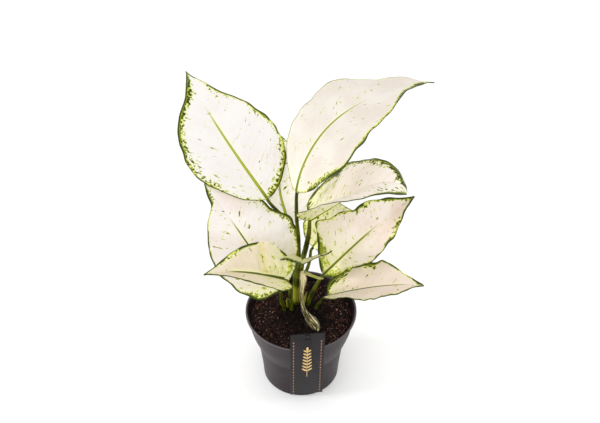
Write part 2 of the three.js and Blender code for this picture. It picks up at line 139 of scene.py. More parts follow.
class Finish:
    """A material being made. node() adds any node, and the other methods name the common ones. colour is what
    has been painted so far."""

    def __init__(self, name):
        self.material = bpy.data.materials.new(name)
        self.material.use_nodes = True
        self.tree = self.material.node_tree
        self.tree.nodes.clear()
        self.colour = None

    def node(self, kind, settings=None, inputs=None, output=0):
        made = self.tree.nodes.new(kind)
        for key, value in (settings or {}).items():
            setattr(made, key, value)
        pairs = inputs.items() if isinstance(inputs, dict) else enumerate(inputs or [])
        for key, value in pairs:
            if isinstance(value, Wire):
                self.tree.links.new(value.socket, made.inputs[key])
            else:
                made.inputs[key].default_value = value
        return Wire(self, made.outputs[output]) if made.outputs else None

    def attribute(self, name):
        return self.node("ShaderNodeAttribute", {"attribute_name": name}, output=1)

    def object_mm(self):
        place = self.node("ShaderNodeTexCoord", output=3)
        return self.node("ShaderNodeVectorMath", {"operation": "SCALE"}, {0: place, "Scale": 1 / MM})

    def split(self, vector):
        cut = self.node("ShaderNodeSeparateXYZ", None, [vector]).socket.node
        return [Wire(self, cut.outputs[i]) for i in range(3)]

    def join(self, x, y, z):
        return self.node("ShaderNodeCombineXYZ", None, [x, y, z])

    def noise(self, place, scale, detail=2.0, roughness=0.5):
        inputs = {"Vector": place, "Scale": scale, "Detail": detail, "Roughness": roughness}
        return self.node("ShaderNodeTexNoise", None, inputs)

    def rise(self, value, low, high):
        """0 below low, 1 above high, and a smooth step between them."""
        settings = {"interpolation_type": "SMOOTHSTEP"}
        return self.node("ShaderNodeMapRange", settings, [value, low, high, 0.0, 1.0])

    def fall(self, value, low, high):
        return 1 - self.rise(value, low, high)

    def mix(self, share, first, second):
        return self.node("ShaderNodeMix", {"data_type": "RGBA"}, {0: share, 6: first, 7: second}, 2)

    def paint(self, share, colour):
        """Lays a colour over the one so far."""
        self.colour = self.mix(share, self.colour, colour)

    def bump(self, height, depth, strength=1.0):
        """A bump whose height, from 0 to 1, is worth that depth in millimetres."""
        inputs = {"Strength": strength, "Distance": depth * MM, "Height": height}
        return self.node("ShaderNodeBump", None, inputs)

    def surface(self, roughness, normal=None, **fixed):
        inputs = {"Base Color": self.colour, "Roughness": roughness}
        inputs.update({key.replace("_", " "): value for key, value in fixed.items()})
        if normal:
            inputs["Normal"] = normal
        shader = self.node("ShaderNodeBsdfPrincipled", None, inputs)
        self.node("ShaderNodeOutputMaterial", None, [shader])
        return self.material


# Leaf colours
LEMON = tone(238, 236, 180)
HALO_YELLOW = tone(204, 212, 74)
STREAK_GREEN = tone(128, 140, 10)
MARGIN_GREEN = tone(54, 66, 2)
RIB_YELLOW = tone(176, 188, 32)
RIB_GREEN = tone(108, 122, 6)
UNDERSIDE = tone(222, 212, 180)
VEIN_SHADE = tone(206, 194, 160)
CREASE = tone(218, 202, 122)
CREASE_GREEN = tone(176, 176, 66)

# Side veins leave the midrib this steeply, bend toward the tip, and stand this many mm apart
VEIN_LEAN = 0.55
VEIN_CURVE = 0.008
VEIN_PITCH = 8.5
# How far apart the two halves of a leaf read the noises of their margins
HALF_APART = 37


def leaf_finish(name, look):
    """Cream tissue with a green midrib, faint side veins, and green flecks and a line at the margin."""
    f = Finish(name)
    across, along, edge = f.split(f.attribute("blade_mm"))
    share, under, _ = f.split(f.attribute("blade_share"))
    seed = look.seed
    off = abs(across)
    left = f.rise(across, -1.0, 1.0)
    vein = along - off * VEIN_LEAN - off * off * VEIN_CURVE
    half = left * HALF_APART + seed

    # noises: broad drifts of tone, streaks along the side veins, round blotches, a fine unevenness, and
    # how boldly each stretch of a margin is marked
    drift = f.noise(f.join(across * 0.03, along * 0.03, seed), 1.0, 3.0)
    streak = f.noise(f.join(vein * 0.33, across * 0.14, seed + 3.7), 1.0, 3.0, 0.6)
    blotch = f.noise(f.join(along, across, seed + 8.2), look.dots, 3.0, 0.6)
    fine = f.noise(f.join(along * 0.17, across * 0.17, seed + 1.9), 1.0, 2.0, 0.6)
    strong = f.noise(f.join(along * 0.024, half, 0.5), 1.0, 1.0)
    strong = f.rise(strong, look.calm, look.calm + 0.2)

    # how strongly the margin is marked: on each half, from the base to the tip
    (left_base, left_tip), (right_base, right_tip) = look.marks
    mark_left = share * (left_tip - left_base) + left_base
    mark_right = share * (right_tip - right_base) + right_base
    mark = f.rise(mark_left * left + mark_right * (1 - left), 0.0, 3.0) * 3.0
    if look.clear:
        at, reach = look.clear
        window = f.fall(abs(share - at), reach * 0.6, reach)
        mark = mark * (1 - (1 - left) * window)
    marked = f.rise(mark, 0.0, 0.2)

    # tissue: its own cream with blushes, yellower toward the base
    f.colour = f.mix(f.rise(drift, 0.35, 0.68), tone(*look.tissue), tone(*look.blush))
    base = f.fall(share + streak * 0.12, 0.04, look.base_reach + 0.1)
    f.paint(base * look.base_yellow, LEMON)
    f.paint(under * 0.5, UNDERSIDE)

    # side veins: a faint, broken line on each
    ridge = abs((vein + streak * 3.0) % VEIN_PITCH / VEIN_PITCH - 0.5)
    line = f.fall(ridge, 0.04, 0.16) * f.rise(off, 2.0, 7.0)
    line = line * f.rise(edge, 1.0, 9.0) * f.rise(drift, 0.4, 0.6)
    f.paint(line * (look.vein + under * 0.2), VEIN_SHADE)

    # a crease across the right half, pale yellow, with green along the midrib below it
    if look.crease:
        at, lean = look.crease
        away = abs(along + across * lean - at + drift * 16 - 8)
        wide = fine * 9 + 1
        fold = f.fall(away, 0.0, wide) * f.rise(streak, 0.3, 0.6)
        f.paint(fold * (1 - left) * f.rise(edge, 0.0, 3.0) * 0.8, CREASE)
        low = f.fall(off, 2.0, 13.0) * f.fall(share, 0.1, 0.55)
        low = low * f.rise(streak + blotch, 0.8, 1.1)
        f.paint(low * (1 - left) * 0.7, CREASE_GREEN)

    # a lemon tint that fades inward, and a yellow halo of uneven width at the margin
    tint = f.fall(edge, 0.5, (strong * 7 + fine * 5) * mark + 1.5)
    f.paint(tint * marked * 0.7, LEMON)
    halo_wide = (fine * 3.6 + strong * 4.0) * mark * look.halo + 0.4
    halo = f.fall(edge, halo_wide * 0.35, halo_wide * 1.15)
    f.paint(halo * marked * 0.9, HALO_YELLOW)

    # flecks, mostly stretched along the veins: yellow, green, then dark, thick at the margin and rare inside
    near = f.fall(edge, 0.8, (strong * 9 + 6) * look.reach)
    fleck = streak + (blotch - streak) * near
    lively = f.fall(share, 0.0, look.base_reach + 0.12) * look.base_flecks
    heat = fleck * 1.15 - 0.075 + look.inside_flecks
    heat = heat + near * mark * (strong * 0.12 + look.edge_flecks) + lively * (near + 0.35)
    if look.patch:
        at, reach, more = look.patch
        window = f.fall(abs(share - at), reach * 0.4, reach) * f.fall(edge, 6.0, 32.0)
        heat = heat + window * left * more
    f.paint(f.rise(heat + lively * 0.6, 0.615, 0.665) * 0.85, HALO_YELLOW)
    deep = 1 - f.fall(share, 0.08, 0.5) * look.olive
    f.paint(f.rise(heat, 0.665, 0.685) * (deep * 0.5 + 0.4), STREAK_GREEN)
    f.paint(f.rise(heat, 0.69, 0.715) * deep, MARGIN_GREEN)

    # the margin's own line, dark and broken
    broken = f.noise(f.join(along * 0.055, half, 7.3), 1.0, 2.0)
    broken = f.rise(broken, look.gaps, look.gaps + 0.08)
    line_wide = (fine * 1.7 + strong * 1.2 + 0.15) * broken
    line_wide = line_wide * f.rise(mark, 0.0, 1.0) * look.line + 0.28
    outer = f.fall(edge, line_wide * 0.9, line_wide * 1.5 + 0.2)
    inner = f.fall(edge, line_wide * 0.6, line_wide * 0.95 + 0.1)
    f.paint(outer * marked * 0.9, STREAK_GREEN)
    f.paint(inner * marked, MARGIN_GREEN)

    # the midrib: green-edged, yellow-green along its middle, and gone toward the tip
    narrow = look.rib_wide * (1.06 - share * 0.9)
    fade = f.fall(share, look.rib_end - 0.2, look.rib_end)
    rib = f.fall(off, narrow * 0.85, narrow * 1.15 + 0.1) * fade
    core = f.fall(off, narrow * 0.25, narrow * 0.8) * f.rise(share, 0.0, 0.12)
    glow = f.fall(off, 0.8, 5.0) * fade
    f.paint(glow * look.glow, LEMON)
    rib_colour = f.mix(core * (0.9 - look.rib_dark), RIB_GREEN, RIB_YELLOW)
    rib_colour = f.mix(look.rib_dark * 0.7, rib_colour, MARGIN_GREEN)
    f.paint(rib * (1 - share * 0.15), rib_colour)

    grain = f.noise(f.object_mm(), 1.6, 3.0)
    relief = grain * 0.35 + line * 0.4
    roughness = 0.42 + grain * 0.12 + under * 0.12
    # a painted glow: a little light of its own colour that brightens a leaf lying in shade
    through = {"Emission_Color": f.colour, "Emission_Strength": look.through}
    return f.surface(roughness, f.bump(relief, 0.12, 0.7), Specular_IOR_Level=0.2, **through)


STEM_DARK = tone(38, 46, 1)
STEM_LIGHT = tone(92, 98, 10)
STEM_PALE = tone(154, 154, 48)
SHOOT_TIP = tone(196, 196, 136)
PEAT_BROWN = tone(26, 17, 11)
# Heights on the stems, in mm: where their foot begins, and where they are soiled and clean again
FOOT_LOW = 84
SOILED = 87.5
CLEAN = 92.0


def stem_finish(name, dark, light, pale, foot_top, crown=None):
    """Smooth green skin with long streaks, paler just above the soil and at the crown's sheaths."""
    f = Finish(name)
    place = f.object_mm()
    x, y, z = f.split(place)
    long = f.noise(f.join(x * 0.9, y * 0.9, z * 0.05), 1.0, 3.0)
    cloud = f.noise(place, 0.06, 2.0)
    f.colour = f.mix(f.rise(long + cloud - 0.5, 0.3, 0.75), dark, light)
    foot = f.fall(z + cloud * 12, FOOT_LOW, foot_top)
    f.paint(foot * 0.15, pale)
    if crown:
        low, high = crown
        sheath = f.rise(z + long * 8, low, low + 10) * f.fall(z + long * 8, high, high + 9)
        f.paint(sheath * (0.35 + long * 0.5), pale)
    soiled = f.fall(z + cloud * 6, SOILED, CLEAN)
    f.paint(soiled * 0.75, PEAT_BROWN)
    fine = f.noise(f.join(x * 3.2, y * 3.2, z * 0.12), 1.0, 2.0)
    return f.surface(0.36 + fine * 0.18, f.bump(fine, 0.12, 0.6), Specular_IOR_Level=0.16)


# The pot's own blacks, the grey of its scuffs, which on the left front also stands for a painted highlight,
# the grey of a painted highlight along the top of its lip, and the heights between which that highlight is
# painted
POT_BLACK = tone(22, 10, 15)
POT_DUSTY = tone(37, 23, 29)
SCUFF_AND_HIGHLIGHT_GREY = tone(108, 98, 102)
LIP_HIGHLIGHT_GREY = tone(118, 110, 113)
LIP_HIGHLIGHT_LOW = 93.4
LIP_HIGHLIGHT_HIGH = 94.4


def pot_finish():
    """Semi-matt black moulded plastic with fine grain, dust and upright scuffs, with a painted highlight on
    the left front and along the top of the lip.
    """
    f = Finish("pot_plastic")
    place = f.object_mm()
    x, y, z = f.split(place)
    grain = f.noise(place, 2.2, 3.0)
    scuff = f.noise(f.join(x * 0.55, y * 0.55, z * 0.07), 1.0, 4.0, 0.62)
    crumple = f.noise(place, 0.22, 3.0, 0.6)
    dust = f.noise(place, 0.09, 4.0, 0.6)
    f.colour = f.mix(f.rise(dust, 0.42, 0.75) * 0.6, POT_BLACK, POT_DUSTY)
    # upright scuffs all round; on the left front, where left and front meet, they are denser and paler:
    # partly real scuffs, partly a painted highlight on that side
    left = f.fall(x, -50.0, -18.0)
    front = f.fall(y, -20.0, 20.0)
    scuffs_and_highlight = f.rise(scuff + crumple * 0.35 - 0.175 + left * front * 0.07, 0.57, 0.68)
    f.paint(scuffs_and_highlight * (left * front * 0.24 + 0.09), SCUFF_AND_HIGHLIGHT_GREY)
    # a painted highlight along the top of the lip
    f.paint(f.rise(z, LIP_HIGHLIGHT_LOW, LIP_HIGHLIGHT_HIGH) * 0.4, LIP_HIGHLIGHT_GREY)
    roughness = 0.40 + grain * 0.12 + scuffs_and_highlight * 0.15
    relief = grain * 0.3 + crumple
    return f.surface(roughness, f.bump(relief, 0.10), Specular_IOR_Level=0.28)


PEAT_SHADE = tone(9, 5, 4)


def soil_finish(name, dark, light):
    """Coarse peat in two tones, with painted shade that darkens it round the stems."""
    f = Finish(name)
    place = f.object_mm()
    lump = f.noise(place, 0.22, 4.0, 0.65)
    grain = f.noise(place, 1.1, 4.0, 0.7)
    f.colour = f.mix(f.rise(lump + grain * 0.5, 0.55, 1.0), dark, light)
    x, y, _ = f.split(place)
    # painted shade: the peat is darker round the stems, where the leaves shade it
    painted_shade = f.fall((x - 3) ** 2 + (y + 3) ** 2 + lump * 400, 500.0, 1500.0)
    f.paint(painted_shade * 0.75, PEAT_SHADE)
    return f.surface(0.82 + grain * 0.15, f.bump(grain, 0.7), Specular_IOR_Level=0.15)


def label_finish():
    """Dark printed plastic card in two soft tones, with a fine grain."""
    f = Finish("label_card")
    place = f.object_mm()
    grain = f.noise(place, 3.0, 2.0)
    cloud = f.noise(place, 0.05, 2.0)
    f.colour = f.mix(f.rise(cloud, 0.3, 0.7), tone(15, 9, 12), tone(21, 14, 17))
    return f.surface(0.42 + grain * 0.12, f.bump(grain, 0.04, 0.5), Specular_IOR_Level=0.22)


def foil_finish(name, colour, bright):
    """Printed metal foil."""
    f = Finish(name)
    grain = f.noise(f.object_mm(), 1.4, 2.0)
    f.colour = f.mix(f.rise(grain, 0.35, 0.7), colour, bright)
    return f.surface(0.34 + grain * 0.1, Metallic=0.55)


# Finishing a piece
def apply(piece, kind, **settings):
    """Adds a modifier with these settings and applies it."""
    bpy.context.view_layer.objects.active = piece
    modifier = piece.modifiers.new(kind.lower(), kind)
    for key, value in settings.items():
        setattr(modifier, key, value)
    bpy.ops.object.modifier_apply(modifier=modifier.name)


def cut(piece, shape):
    """Cuts a shape out of a piece, and takes the shape away."""
    apply(piece, "BOOLEAN", object=shape, operation="DIFFERENCE", solver="EXACT")
    bpy.data.objects.remove(shape)


def soften(piece, width, segments, angle):
    """Bevels the edges that turn by more than that angle."""
    limit = {"limit_method": "ANGLE", "angle_limit": radians(angle)}
    apply(piece, "BEVEL", width=width * MM, segments=segments, **limit)


def smooth(piece, angle):
    deselect()
    piece.select_set(True)
    bpy.context.view_layer.objects.active = piece
    bpy.ops.object.shade_smooth_by_angle(angle=radians(angle))


def settle(piece, name, material, slot, *nodes):
    """Names a finished piece, gives it its material and body, and says which nodes it stands for."""
    piece.name = name
    piece.data.name = name
    piece.data.materials.clear()
    piece.data.materials.append(material)
    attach(piece, "root")
    if nodes:
        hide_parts(*nodes)


# Leaf blades, with nearly the same values as the solids, in mm and degrees. Each starts at its petiole and
# heads where yaw and pitch point. It droops and sweeps on its way, the later the larger late is, and twists
# evenly. It is widest at peak and drawn out by tip. Pairs are left, then right: the halves' widths, the fold
# at the midrib and the curl on to the margin, the lobes at the base, and where the waves start. flat undoes
# the fold toward the tip. dents swell or narrow a half: how far along, by how many mm, over what share of
# the length. bow moves the midrib aside in the same way. crease presses a trough across the right half:
# where, how sloped and how deep.
PLAIN_LEAF = dict(
    roll=0, sweep=0, twist=0, flat=0, ripple=1.5, waves=3, dents=((), ()), bow=(0.5, 0, 1), crease=(0, 0, 0),
)


def grown(**values):
    return SimpleNamespace(**{**PLAIN_LEAF, **values})


LEAVES = {
    "upper_left": grown(
        at=(-34, 33, 220), length=173.5, halves=(55, 55), yaw=127, pitch=22, roll=2,
        droop=-10, sweep=-5, twist=-12, fold=(6, 6), curl=(-1, -2),
        peak=0.4, tip=1.42, late=0.9, lobes=(0.06, 0.06), phase=(0, 2),
        dents=(((0.07, 3.5, 0.07), (0.5, -3, 0.06), (0.85, -3, 0.09)),
               ((0.2, 2, 0.06), (0.5, 1.5, 0.07), (0.9, 2, 0.05))),
    ),
    "upper_right": grown(
        at=(-5, 15, 243), length=192, halves=(61, 61), yaw=30, pitch=83, roll=3,
        droop=98, sweep=-4, twist=-30, fold=(1, 5), curl=(-6, -2),
        peak=0.45, tip=1.4, late=0, lobes=(0.09, 0.09), ripple=2.5, waves=3.5, phase=(1.5, 3.6),
        bow=(0.68, -7.5, 0.2),
        dents=(((0.03, 3, 0.03), (0.16, 4, 0.07), (0.32, -6.5, 0.09), (0.79, -5, 0.06)),
               ((0.475, 5, 0.05), (0.72, 5, 0.09))),
    ),
    "mid_left": grown(
        at=(-23, -14, 137), length=135, halves=(44, 49), yaw=148, pitch=52, roll=-25,
        droop=18, twist=-4, fold=(7, 15), curl=(5, -13), flat=0.3,
        peak=0.38, tip=1.34, late=0.9, lobes=(0.08, 0.08), phase=(1, 0),
        dents=(((0.07, 4, 0.05), (0.3, -2.5, 0.05), (0.84, -6.5, 0.08)),
               ((0.3, 2.5, 0.07), (0.43, 3.5, 0.06), (0.54, -2.5, 0.05), (0.65, 2.5, 0.05))),
    ),
    "low_left": grown(
        at=(-17, -26, 164), length=90, halves=(33, 33), yaw=204, pitch=34, roll=-24,
        droop=32, sweep=6, twist=6, fold=(36, 36), curl=(-1, 3), flat=-0.2,
        peak=0.35, tip=1.4, late=1.1, lobes=(0.18, 0.27), ripple=1, phase=(0, 1), crease=(25, 0.4, 2.2),
        dents=(((0.6, -2.5, 0.08),), ()),
    ),
    "right_upper": grown(
        at=(10, 18, 207), length=120, halves=(52, 52), yaw=-7, pitch=42, roll=7,
        droop=131, sweep=-26, twist=10, fold=(4, 55), curl=(-18, -7), flat=0.8,
        peak=0.3, tip=0.9, late=4, lobes=(0.14, 0.06), phase=(0, 0),
        dents=(((0.48, -2, 0.06), (0.92, -3.5, 0.05)), ((0.03, -14, 0.07),)),
    ),
    "right_mid": grown(
        at=(24, 13, 133), length=131, halves=(41, 40), yaw=7, pitch=51, roll=35,
        droop=24, sweep=-6, twist=16, fold=(33, 38), curl=(10, 10),
        peak=0.43, tip=1.3, late=1.3, lobes=(0.02, 0.02), ripple=3, phase=(2.4, 0.5),
        dents=(((0.35, 9, 0.055), (0.6, -5, 0.045), (0.74, 2.5, 0.05), (0.84, 3, 0.05)),
               ((0.27, -10, 0.14), (0.72, 3.5, 0.04), (0.89, -2.5, 0.05))),
    ),
    "right_low": grown(
        at=(28, -9, 124), length=102, halves=(37, 37), yaw=-2, pitch=19, roll=-23,
        droop=12, sweep=-14, twist=33, fold=(14, 15), curl=(8, 8),
        peak=0.3, tip=1.2, late=0.9, lobes=(0.06, 0.06), ripple=2, phase=(1.5, 3),
        dents=(((0.4, -3, 0.035), (0.58, 3.5, 0.06), (0.78, -1.5, 0.03)),
               ((0.57, 7, 0.07), (0.92, -1.5, 0.05))),
    ),
    "back_left": grown(
        at=(-12, 50, 175), length=94, halves=(22, 32), yaw=96, pitch=62, droop=35, sweep=4,
        fold=(12, 12), curl=(4, 4), peak=0.36, tip=1.3, late=0.8, lobes=(0.05, 0.05), phase=(0, 2),
        bow=(0.4, 9, 0.35),
    ),
    "back_right": grown(
        at=(13, 50, 140), length=66, halves=(26, 26), yaw=35, pitch=40, droop=50, sweep=-10,
        fold=(14, 14), curl=(5, 5), peak=0.34, tip=1.3, late=0.8, lobes=(0.05, 0.05), phase=(1, 2),
        dents=(((0.2, 4, 0.1), (0.76, 9, 0.15)), ()),
    ),
    "young": grown(
        at=(1.5, 6, 162), length=72, halves=(31, 21), yaw=-91, pitch=43.5, roll=2,
        droop=14, fold=(3, 39), curl=(22, -75),
        peak=0.4, tip=1.3, late=0.8, lobes=(0.04, 0.04), ripple=0.6, phase=(0, 2),
        dents=((), ((0.4, 3, 0.2),)),
    ),
}

# How each leaf is coloured. tissue and blush are its creams. base_yellow, base_flecks and base_reach say how
# yellow and flecked its base is, and how far. edge_flecks and inside_flecks add flecks, reach spreads them
# inward from the margin, and dots makes the round ones finer. marks are the margin's strengths at base and
# tip, of the left half, then of the right half. line and halo are its widths, calm and gaps how much of it is
# faint or broken, and clear where it stops on the right half. patch adds flecks at a place on the left half.
# Words with rib and glow are the midrib's, vein the side veins', crease the place and slope of a pale crease,
# olive how yellow the greens near the base are, and through how strongly the leaf glows with painted light of
# its own colour.
PLAIN_LOOK = dict(
    tissue=(230, 222, 212), blush=(224, 210, 198), base_yellow=0.25, base_reach=0.2, base_flecks=0.0,
    edge_flecks=0.08, inside_flecks=0.0, reach=1.0, calm=0.42, gaps=0.40, vein=0.10, halo=0.85, line=1.0,
    rib_end=0.72, rib_wide=1.3, rib_dark=0.0, glow=0.6, marks=((1.0, 1.0), (1.0, 1.0)), crease=None,
    clear=None, patch=None, through=0.0, olive=0.0, dots=0.33,
)
LOOKS = {
    "upper_left": dict(
        tissue=(234, 231, 228), blush=(231, 226, 222), base_yellow=0.1, base_flecks=0.04,
        edge_flecks=0.11, inside_flecks=-0.05, reach=1.3, calm=0.36, vein=0.08, halo=0.9, rib_wide=1.7,
        rib_end=0.76, patch=(0.32, 0.26, 0.085), marks=((0.5, 1.7), (1.15, 0.9)),
    ),
    "upper_right": dict(
        tissue=(230, 223, 213), blush=(223, 212, 201), base_yellow=0.15, edge_flecks=0.095,
        inside_flecks=-0.045, dots=0.5, calm=0.36, gaps=0.43, line=1.4, rib_end=0.66, rib_wide=1.7,
        rib_dark=0.25, marks=((0.5, 0.6), (1.15, 2.0)),
    ),
    "mid_left": dict(
        tissue=(236, 231, 228), blush=(231, 220, 216), base_yellow=0.7, base_reach=0.34,
        base_flecks=0.045, inside_flecks=-0.03, olive=0.3, dots=0.5, halo=0.6, line=1.2, vein=0.05,
        rib_wide=1.2, rib_dark=1.3, marks=((1.0, 1.0), (1.5, 0.6)),
    ),
    "low_left": dict(
        tissue=(226, 215, 196), blush=(220, 206, 182), base_yellow=0.7, base_reach=0.5,
        base_flecks=0.07, edge_flecks=0.05, inside_flecks=-0.02, olive=0.7, halo=0.7, line=1.6, vein=0.12,
        rib_end=0.8, rib_wide=2.0, rib_dark=0.9, glow=0.9, crease=(25, 0.4), clear=(0.31, 0.17),
        marks=((0.6, 1.4), (2.2, 0.5)),
    ),
    "right_upper": dict(
        tissue=(245, 238, 233), blush=(240, 229, 222), base_yellow=0.65, base_reach=0.38,
        base_flecks=0.08, edge_flecks=0.125, inside_flecks=-0.01, reach=2.2, calm=0.44, gaps=0.32, line=2.0,
        rib_end=0.5, through=0.02, marks=((1.9, 1.5), (0.3, 1.0)),
    ),
    "right_mid": dict(
        tissue=(237, 228, 221), blush=(228, 212, 201), base_yellow=0.75, base_reach=0.5,
        base_flecks=0.08, inside_flecks=-0.028, olive=0.75, reach=1.5, line=1.8, vein=0.15, rib_end=0.66,
        rib_wide=1.6, rib_dark=0.4, marks=((1.2, 1.5), (1.3, 1.1)),
    ),
    "right_low": dict(
        tissue=(229, 216, 204), blush=(222, 204, 189), base_yellow=0.3, base_flecks=0.13,
        inside_flecks=-0.015, line=1.7, rib_end=0.9, rib_wide=1.1, rib_dark=1.3, glow=0.2,
        marks=((1.6, 1.2), (0.7, 0.9)),
    ),
    # the leaf at the back left gets the palest cream and a painted glow: painted light where it lies in the
    # shade of the leaves before it
    "back_left": dict(
        tissue=(252, 249, 246), blush=(250, 245, 240), base_yellow=0.0, rib_end=0.85, rib_wide=1.6,
        glow=0.2, through=0.12, marks=((0.3, 0.5), (0.3, 0.5)),
    ),
    "back_right": dict(
        tissue=(226, 223, 190), blush=(220, 216, 176), base_yellow=0.6, base_reach=0.8,
        base_flecks=0.05, rib_end=0.6, marks=((1.2, 0.9), (0.9, 0.9)),
    ),
    "young": dict(
        tissue=(196, 196, 134), blush=(208, 206, 158), base_yellow=0.7, base_reach=0.7,
        edge_flecks=0.03, gaps=0.1, line=2.2, rib_end=0.9, marks=((1.2, 1.0), (1.2, 1.0)),
    ),
}

# A blade's steps along its midrib, its grid, and its measures in mm
STEPS = 80
ROWS = 132
COLUMNS = 56
END_CROWD = 0.055
RIB_CROWD = 0.3
BASE_WIDTH = 1.6
TIP_WIDTH = 0.4
EDGE_THICK = 0.6
BODY_THICK = 1.0
RIB_THICK = 1.45
RIB_WIDE = 1.7
QUILT = 0.28
GROOVE = 0.45


def midrib(leaf):
    """The blade's frames from base to tip: a point, then the directions along it, to its left and up."""
    yaw, pitch = radians(leaf.yaw), radians(leaf.pitch)
    along = Vector((cos(pitch) * cos(yaw), cos(pitch) * sin(yaw), sin(pitch)))
    side = Vector((-sin(yaw), cos(yaw), 0))
    up = along.cross(side)
    roll = Quaternion(along, radians(leaf.roll))
    side, up = roll @ side, roll @ up
    point = Vector(leaf.at)
    frames = [(point.copy(), along, side, up)]
    for i in range(STEPS):
        share = (1 + leaf.late) * ((i + 0.5) / STEPS) ** leaf.late / STEPS
        droop = Quaternion(side, radians(leaf.droop) * share)
        along, up = droop @ along, droop @ up
        sweep = Quaternion(up, radians(leaf.sweep) * share)
        along, side = sweep @ along, sweep @ side
        twist = Quaternion(along, radians(leaf.twist) / STEPS)
        side, up = twist @ side, twist @ up
        point += along * leaf.length / STEPS
        frames.append((point.copy(), along, side, up))
    return frames


def frame_at(frames, u):
    """The midrib's frame at any share of its length."""
    k = min(int(u * STEPS), STEPS - 1)
    part = u * STEPS - k
    return [a.lerp(b, part) for a, b in zip(frames[k], frames[k + 1])]


def outline(leaf, u):
    rise = leaf.tip * leaf.peak / (1 - leaf.peak)
    return (max(u, 1e-6) / leaf.peak) ** rise * ((1 - u) / (1 - leaf.peak)) ** leaf.tip


def blade_point(leaf, frames, u, v, seed):
    """A point of the upper face, and its place on the blade: across, along and in from the margin."""
    point, along, side, up = frame_at(frames, u)
    which, sign, a = (0, 1, v) if v >= 0 else (1, -1, -v)
    share = outline(leaf, u)
    nibble = 1 + 0.008 * sin(31 * u + seed * 5 + which) + 0.006 * sin(57 * u + seed * 3)
    width = leaf.halves[which] * share * nibble + BASE_WIDTH * (1 - u) ** 10 + TIP_WIDTH * u ** 10
    for middle, swelling, spread in leaf.dents[which]:
        width += swelling * exp(-(((u - middle) / spread) ** 2)) * min(1, 3 * share)
    width = max(width, TIP_WIDTH)
    fold = radians(leaf.fold[which]) * (1 - leaf.flat * u * u)
    curl = radians(leaf.curl[which])
    out = (sin(fold + curl * a) - sin(fold)) / curl
    lift = (cos(fold) - cos(fold + curl * a)) / curl
    back = leaf.lobes[which] * leaf.length * a * a * min(1, share * 1.6) * (1 - u) ** 8
    swell = sqrt(max(0, 4 * u * (1 - u)))
    turn = 2 * pi * leaf.waves * u + leaf.phase[which]
    wave = (leaf.ripple * sin(turn) + 0.35 * sin(3.3 * turn + seed * 7)) * a * a * swell
    bow_at, bow, bow_spread = leaf.bow
    lean = bow * exp(-(((u - bow_at) / bow_spread) ** 2)) * (1 - a)
    crease_at, crease_lean, crease_deep = leaf.crease
    off = a * width
    across_fold = (u * leaf.length + sign * off * crease_lean - crease_at) / 5
    fold_deep = crease_deep * exp(-across_fold * across_fold) * min(1, off / 6) if sign < 0 else 0
    vein = u * leaf.length - off * VEIN_LEAN - off * off * VEIN_CURVE
    quilt = QUILT * (0.5 - 0.5 * cos(2 * pi * vein / VEIN_PITCH))
    quilt *= min(1, off / 8) * min(1, (width - off) / 6) * min(1, width / 20)
    groove = GROOVE * exp(-((off / 1.5) ** 2)) * (1 - u) * min(1, width / 6)
    height = width * lift + wave + quilt - groove - fold_deep
    place = point + side * (sign * width * out + lean) + up * height - along * back
    return place * MM, (sign * off, u * leaf.length, width - off)


def keep(mesh, name, vectors):
    """Stores one vector at each point, for the materials to follow the blade's form."""
    layer = mesh.attributes.new(name, "FLOAT_VECTOR", "POINT")
    layer.data.foreach_set("vector", [c for vector in vectors for c in vector])


def thicken(piece, places, shares, **settings):
    """Thickens a blade downward. Its points keep their place, how far along they are, and 1 if below."""
    mesh = piece.data
    upper = len(mesh.vertices)
    keep(mesh, "blade_mm", places)
    apply(piece, "SOLIDIFY", offset=-1, **settings)
    rows = [(shares[i % upper], 0.0 if i < upper else 1.0, 0.0) for i in range(len(mesh.vertices))]
    keep(mesh, "blade_share", rows)
    smooth(piece, 50)


def blade(name, leaf, seed):
    """A waved, quilted blade from a flat grid, with its midrib standing out below."""
    bpy.ops.mesh.primitive_grid_add(x_subdivisions=ROWS, y_subdivisions=COLUMNS, size=2)
    piece = bpy.context.object
    frames = midrib(leaf)
    thick = piece.vertex_groups.new(name="thickness")
    thickest = BODY_THICK + RIB_THICK
    places, shares = [], []
    for vertex in piece.data.vertices:
        # rows stand closer at both ends, and columns at the midrib
        t = (vertex.co.x + 1) / 2
        u = min(1, max(0, t - END_CROWD * sin(2 * pi * t)))
        v = vertex.co.y * (1 - RIB_CROWD + RIB_CROWD * vertex.co.y ** 2)
        vertex.co, place = blade_point(leaf, frames, u, v, seed)
        body = BODY_THICK + (EDGE_THICK - BODY_THICK) * abs(v)
        rib = RIB_THICK * (1 - u) * exp(-((place[0] / RIB_WIDE) ** 2))
        thick.add([vertex.index], (body + rib) / thickest, "REPLACE")
        places.append(place)
        shares.append(u)
    thicken(piece, places, shares, thickness=thickest * MM, vertex_group="thickness")
    look = SimpleNamespace(**{**PLAIN_LOOK, **LOOKS[name], "seed": seed})
    settle(piece, "blade_" + name, leaf_finish("tissue_" + name, look), "leaf", "leaf_" + name)


# The narrow old leaf that hangs from the crown: points (x, y, z, half width) down its midrib
HANGING = [
    (1.4, 11.4, 140, 1.9), (2.4, 8.5, 132, 3.5), (1.2, 5, 120, 2), (0.8, 2, 107, 1.6), (3, -3, 97, 1.8),
    (7, -10, 93.5, 3.4), (12, -17, 92.5, 5.2), (16.5, -23.5, 92, 4.4), (18.6, -28, 91.5, 1.2),
]
HANGING_TURN = 30
HANGING_THICK = 0.9


